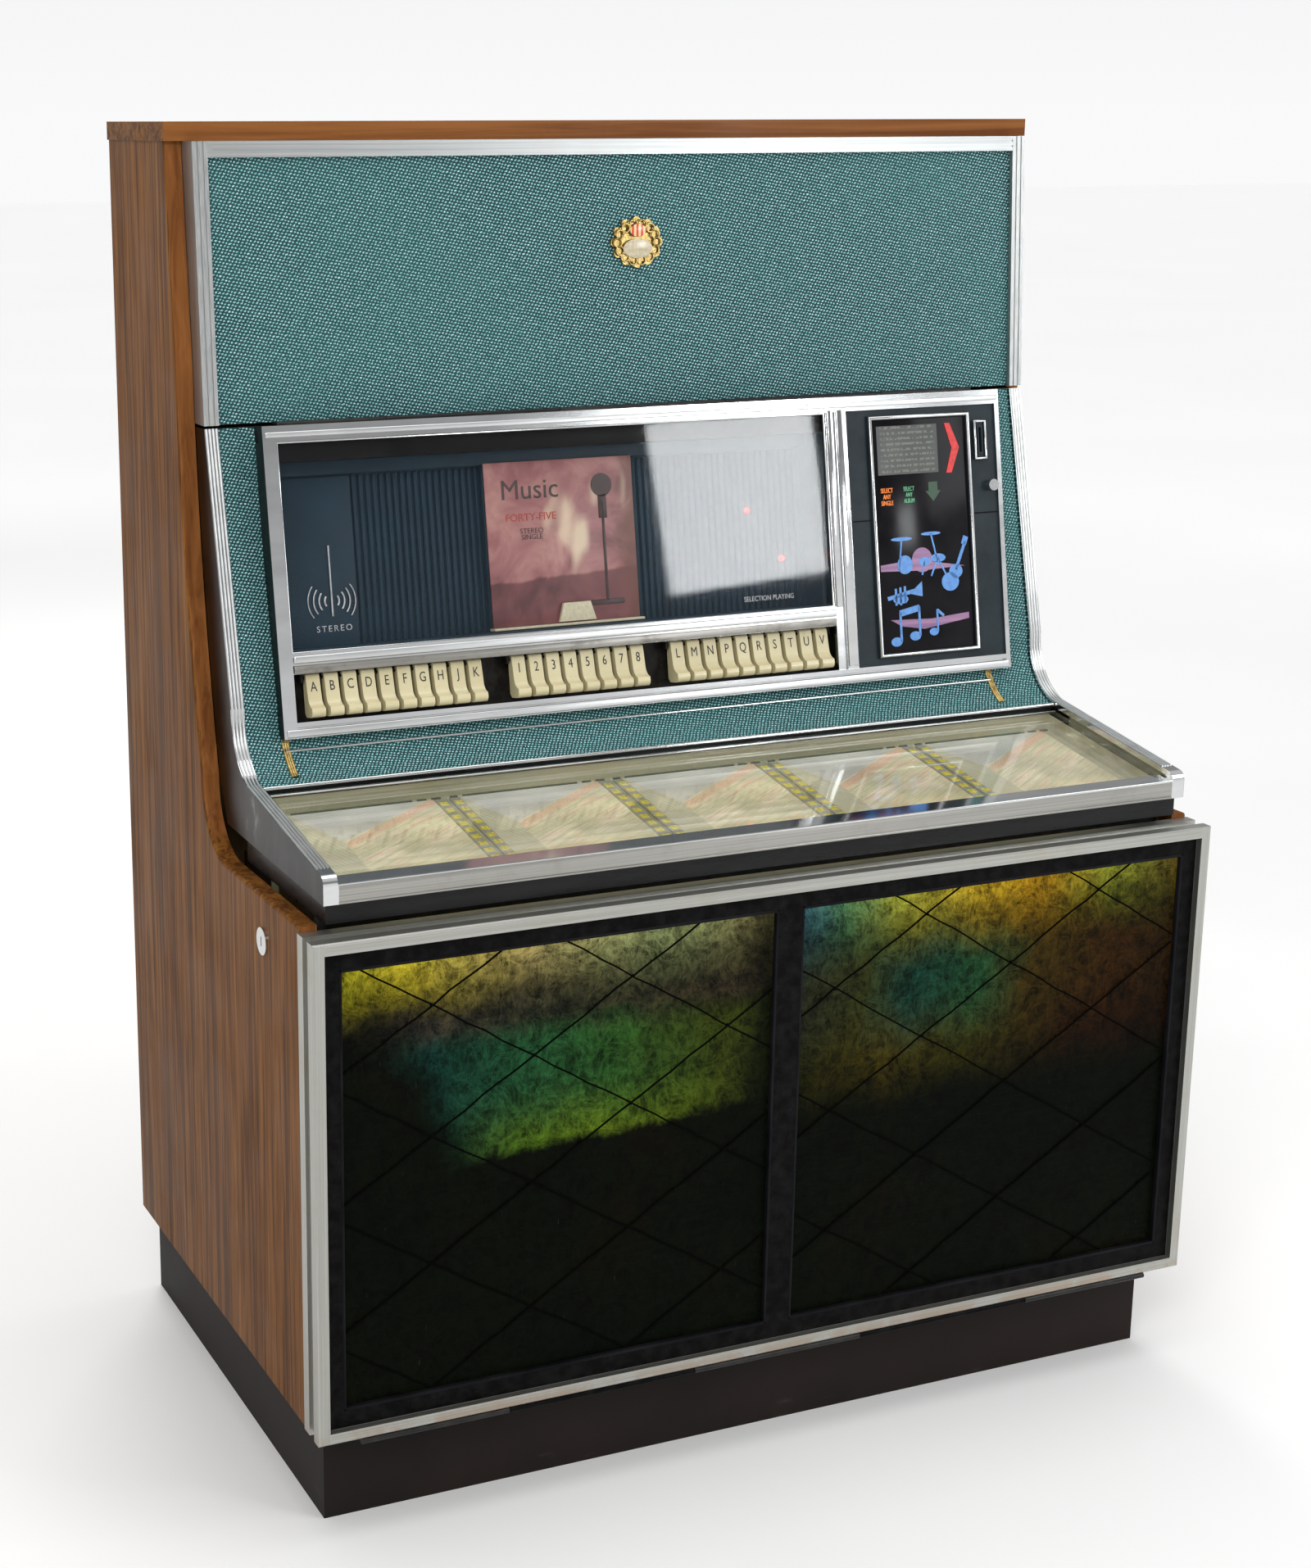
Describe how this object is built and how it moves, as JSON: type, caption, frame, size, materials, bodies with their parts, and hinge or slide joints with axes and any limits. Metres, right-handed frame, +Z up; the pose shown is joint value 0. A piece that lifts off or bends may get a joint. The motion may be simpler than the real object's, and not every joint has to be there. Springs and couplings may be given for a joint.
{
  "type": "console jukebox",
  "caption": "Floor-standing console jukebox with a cloth speaker grille, lifting lid with display, selector keys and title deck, and a drop-down lower door.",
  "frame": {"origin": "middle of the footprint on the floor", "axes": "+X to the viewer's right, the front faces -Y, +Z up"},
  "size_m": [1.03, 0.61, 1.36],
  "materials": {
    "wood": "brown wood-grain laminate, satin",
    "hardboard": "bare hardboard and chipboard",
    "plinth_black": "near-black painted board",
    "aluminium": "extruded, ribbed, satin",
    "chrome": "polished chrome plate",
    "side_metal": "dark grey metal with a worn sheen",
    "speaker_cone": "black paper cone",
    "brass": "cast and enamelled",
    "steel": "plated sheet steel",
    "record_black": "pressed vinyl",
    "lamp_glass": "frosted tube",
    "lid_board": "board under teal cloth, black edge",
    "slate_plastic": "dark slate blue, moulded",
    "glass": "clear float glass",
    "key_bed_black": "black moulded",
    "tray_white": "cream paint",
    "ivory": "ivory moulded",
    "amber_plastic": "crinkled translucent sheet over dark backing",
    "cast_grey": "cast, as moulded"
  },
  "bodies": {
    "cabinet": {"left_side_panel": "wood", "right_side_panel": "wood", "top_board": "wood", "back_panel": "hardboard", "plinth": "plinth_black", "floor_board": "hardboard", "speaker_baffle": "hardboard", "grille_trim": "aluminium", "speakers": "speaker_cone", "grille_badge": "brass", "amplifier": "steel", "cash_box": "steel", "record_magazine": "steel", "records": "record_black", "lamps": "lamp_glass", "hinges": "steel"},
    "lid": {"lid_panel": "lid_board", "lid_trim": "side_metal", "display_frame": "chrome", "display_backdrop": "slate_plastic", "display_glass": "glass", "key_bed": "key_bed_black", "coin_panel": "slate_plastic", "deck_glass": "glass", "title_tray": "tray_white"},
    "door": {"door_frame": "aluminium", "door_panels": "amber_plastic"},
    "coin_button": {"coin_button": "chrome"},
    "lock_plug": {"lock_plug": "chrome"},
    "carriage": {"carriage": "cast_grey"},
    "turntable": {"turntable": "steel"},
    "tone_arm": {"tone_arm": "cast_grey"},
    "key_a": {"key_a": "ivory"},
    "key_b": {"key_b": "ivory"},
    "key_c": {"key_c": "ivory"},
    "key_d": {"key_d": "ivory"},
    "key_e": {"key_e": "ivory"},
    "key_f": {"key_f": "ivory"},
    "key_g": {"key_g": "ivory"},
    "key_h": {"key_h": "ivory"},
    "key_j": {"key_j": "ivory"},
    "key_k": {"key_k": "ivory"},
    "key_1": {"key_1": "ivory"},
    "key_2": {"key_2": "ivory"},
    "key_3": {"key_3": "ivory"},
    "key_4": {"key_4": "ivory"},
    "key_5": {"key_5": "ivory"},
    "key_6": {"key_6": "ivory"},
    "key_7": {"key_7": "ivory"},
    "key_8": {"key_8": "ivory"},
    "key_l": {"key_l": "ivory"},
    "key_m": {"key_m": "ivory"},
    "key_n": {"key_n": "ivory"},
    "key_p": {"key_p": "ivory"},
    "key_q": {"key_q": "ivory"},
    "key_r": {"key_r": "ivory"},
    "key_s": {"key_s": "ivory"},
    "key_t": {"key_t": "ivory"},
    "key_u": {"key_u": "ivory"},
    "key_v": {"key_v": "ivory"}
  },
  "joints": [
    {"name": "lid_lift", "type": "hinge", "parent": "cabinet", "child": "lid", "pos_m": [0, 0.0446, 1.0598], "axis": [-1, 0, 0], "range_deg": [0, 55]},
    {"name": "door_drop", "type": "hinge", "parent": "cabinet", "child": "door", "pos_m": [0, -0.3015, 0.1035], "axis": [1, 0, 0], "range_deg": [0, 80]},
    {"name": "coin_return_press", "type": "slide", "parent": "lid", "child": "coin_button", "axis": [0, 0.9848, -0.1736], "range_m": [0, 0.0045], "stiffness_N_per_m": 150, "springref_m": -0.004},
    {"name": "lock_turn", "type": "hinge", "parent": "cabinet", "child": "lock_plug", "pos_m": [-0.504, -0.158, 0.581], "axis": [-1, 0, 0], "range_deg": [0, 90]},
    {"name": "carriage_travel", "type": "slide", "parent": "cabinet", "child": "carriage", "axis": [1, 0, 0], "range_m": [-0.3, 0.3]},
    {"name": "turntable_spin", "type": "hinge", "parent": "carriage", "child": "turntable", "pos_m": [0, 0.047, 0.708], "axis": [1, 0, 0], "continuous": true},
    {"name": "tone_arm_swing", "type": "hinge", "parent": "carriage", "child": "tone_arm", "pos_m": [0.024, 0.073, 0.607], "axis": [1, 0, 0], "range_deg": [0, 20]},
    {"name": "key_a_press", "type": "hinge", "parent": "lid", "child": "key_a", "pos_m": [0, -0.00606, 0.80474], "axis": [1, 0, 0], "range_deg": [0, 6], "stiffness_Nm_per_rad": 0.3, "springref_deg": -2.86},
    {"name": "key_b_press", "type": "hinge", "parent": "lid", "child": "key_b", "pos_m": [0, -0.00606, 0.80474], "axis": [1, 0, 0], "range_deg": [0, 6], "stiffness_Nm_per_rad": 0.3, "springref_deg": -2.86},
    {"name": "key_c_press", "type": "hinge", "parent": "lid", "child": "key_c", "pos_m": [0, -0.00606, 0.80474], "axis": [1, 0, 0], "range_deg": [0, 6], "stiffness_Nm_per_rad": 0.3, "springref_deg": -2.86},
    {"name": "key_d_press", "type": "hinge", "parent": "lid", "child": "key_d", "pos_m": [0, -0.00606, 0.80474], "axis": [1, 0, 0], "range_deg": [0, 6], "stiffness_Nm_per_rad": 0.3, "springref_deg": -2.86},
    {"name": "key_e_press", "type": "hinge", "parent": "lid", "child": "key_e", "pos_m": [0, -0.00606, 0.80474], "axis": [1, 0, 0], "range_deg": [0, 6], "stiffness_Nm_per_rad": 0.3, "springref_deg": -2.86},
    {"name": "key_f_press", "type": "hinge", "parent": "lid", "child": "key_f", "pos_m": [0, -0.00606, 0.80474], "axis": [1, 0, 0], "range_deg": [0, 6], "stiffness_Nm_per_rad": 0.3, "springref_deg": -2.86},
    {"name": "key_g_press", "type": "hinge", "parent": "lid", "child": "key_g", "pos_m": [0, -0.00606, 0.80474], "axis": [1, 0, 0], "range_deg": [0, 6], "stiffness_Nm_per_rad": 0.3, "springref_deg": -2.86},
    {"name": "key_h_press", "type": "hinge", "parent": "lid", "child": "key_h", "pos_m": [0, -0.00606, 0.80474], "axis": [1, 0, 0], "range_deg": [0, 6], "stiffness_Nm_per_rad": 0.3, "springref_deg": -2.86},
    {"name": "key_j_press", "type": "hinge", "parent": "lid", "child": "key_j", "pos_m": [0, -0.00606, 0.80474], "axis": [1, 0, 0], "range_deg": [0, 6], "stiffness_Nm_per_rad": 0.3, "springref_deg": -2.86},
    {"name": "key_k_press", "type": "hinge", "parent": "lid", "child": "key_k", "pos_m": [0, -0.00606, 0.80474], "axis": [1, 0, 0], "range_deg": [0, 6], "stiffness_Nm_per_rad": 0.3, "springref_deg": -2.86},
    {"name": "key_1_press", "type": "hinge", "parent": "lid", "child": "key_1", "pos_m": [0, -0.00606, 0.80474], "axis": [1, 0, 0], "range_deg": [0, 6], "stiffness_Nm_per_rad": 0.3, "springref_deg": -2.86},
    {"name": "key_2_press", "type": "hinge", "parent": "lid", "child": "key_2", "pos_m": [0, -0.00606, 0.80474], "axis": [1, 0, 0], "range_deg": [0, 6], "stiffness_Nm_per_rad": 0.3, "springref_deg": -2.86},
    {"name": "key_3_press", "type": "hinge", "parent": "lid", "child": "key_3", "pos_m": [0, -0.00606, 0.80474], "axis": [1, 0, 0], "range_deg": [0, 6], "stiffness_Nm_per_rad": 0.3, "springref_deg": -2.86},
    {"name": "key_4_press", "type": "hinge", "parent": "lid", "child": "key_4", "pos_m": [0, -0.00606, 0.80474], "axis": [1, 0, 0], "range_deg": [0, 6], "stiffness_Nm_per_rad": 0.3, "springref_deg": -2.86},
    {"name": "key_5_press", "type": "hinge", "parent": "lid", "child": "key_5", "pos_m": [0, -0.00606, 0.80474], "axis": [1, 0, 0], "range_deg": [0, 6], "stiffness_Nm_per_rad": 0.3, "springref_deg": -2.86},
    {"name": "key_6_press", "type": "hinge", "parent": "lid", "child": "key_6", "pos_m": [0, -0.00606, 0.80474], "axis": [1, 0, 0], "range_deg": [0, 6], "stiffness_Nm_per_rad": 0.3, "springref_deg": -2.86},
    {"name": "key_7_press", "type": "hinge", "parent": "lid", "child": "key_7", "pos_m": [0, -0.00606, 0.80474], "axis": [1, 0, 0], "range_deg": [0, 6], "stiffness_Nm_per_rad": 0.3, "springref_deg": -2.86},
    {"name": "key_8_press", "type": "hinge", "parent": "lid", "child": "key_8", "pos_m": [0, -0.00606, 0.80474], "axis": [1, 0, 0], "range_deg": [0, 6], "stiffness_Nm_per_rad": 0.3, "springref_deg": -2.86},
    {"name": "key_l_press", "type": "hinge", "parent": "lid", "child": "key_l", "pos_m": [0, -0.00606, 0.80474], "axis": [1, 0, 0], "range_deg": [0, 6], "stiffness_Nm_per_rad": 0.3, "springref_deg": -2.86},
    {"name": "key_m_press", "type": "hinge", "parent": "lid", "child": "key_m", "pos_m": [0, -0.00606, 0.80474], "axis": [1, 0, 0], "range_deg": [0, 6], "stiffness_Nm_per_rad": 0.3, "springref_deg": -2.86},
    {"name": "key_n_press", "type": "hinge", "parent": "lid", "child": "key_n", "pos_m": [0, -0.00606, 0.80474], "axis": [1, 0, 0], "range_deg": [0, 6], "stiffness_Nm_per_rad": 0.3, "springref_deg": -2.86},
    {"name": "key_p_press", "type": "hinge", "parent": "lid", "child": "key_p", "pos_m": [0, -0.00606, 0.80474], "axis": [1, 0, 0], "range_deg": [0, 6], "stiffness_Nm_per_rad": 0.3, "springref_deg": -2.86},
    {"name": "key_q_press", "type": "hinge", "parent": "lid", "child": "key_q", "pos_m": [0, -0.00606, 0.80474], "axis": [1, 0, 0], "range_deg": [0, 6], "stiffness_Nm_per_rad": 0.3, "springref_deg": -2.86},
    {"name": "key_r_press", "type": "hinge", "parent": "lid", "child": "key_r", "pos_m": [0, -0.00606, 0.80474], "axis": [1, 0, 0], "range_deg": [0, 6], "stiffness_Nm_per_rad": 0.3, "springref_deg": -2.86},
    {"name": "key_s_press", "type": "hinge", "parent": "lid", "child": "key_s", "pos_m": [0, -0.00606, 0.80474], "axis": [1, 0, 0], "range_deg": [0, 6], "stiffness_Nm_per_rad": 0.3, "springref_deg": -2.86},
    {"name": "key_t_press", "type": "hinge", "parent": "lid", "child": "key_t", "pos_m": [0, -0.00606, 0.80474], "axis": [1, 0, 0], "range_deg": [0, 6], "stiffness_Nm_per_rad": 0.3, "springref_deg": -2.86},
    {"name": "key_u_press", "type": "hinge", "parent": "lid", "child": "key_u", "pos_m": [0, -0.00606, 0.80474], "axis": [1, 0, 0], "range_deg": [0, 6], "stiffness_Nm_per_rad": 0.3, "springref_deg": -2.86},
    {"name": "key_v_press", "type": "hinge", "parent": "lid", "child": "key_v", "pos_m": [0, -0.00606, 0.80474], "axis": [1, 0, 0], "range_deg": [0, 6], "stiffness_Nm_per_rad": 0.3, "springref_deg": -2.86}
  ]
}
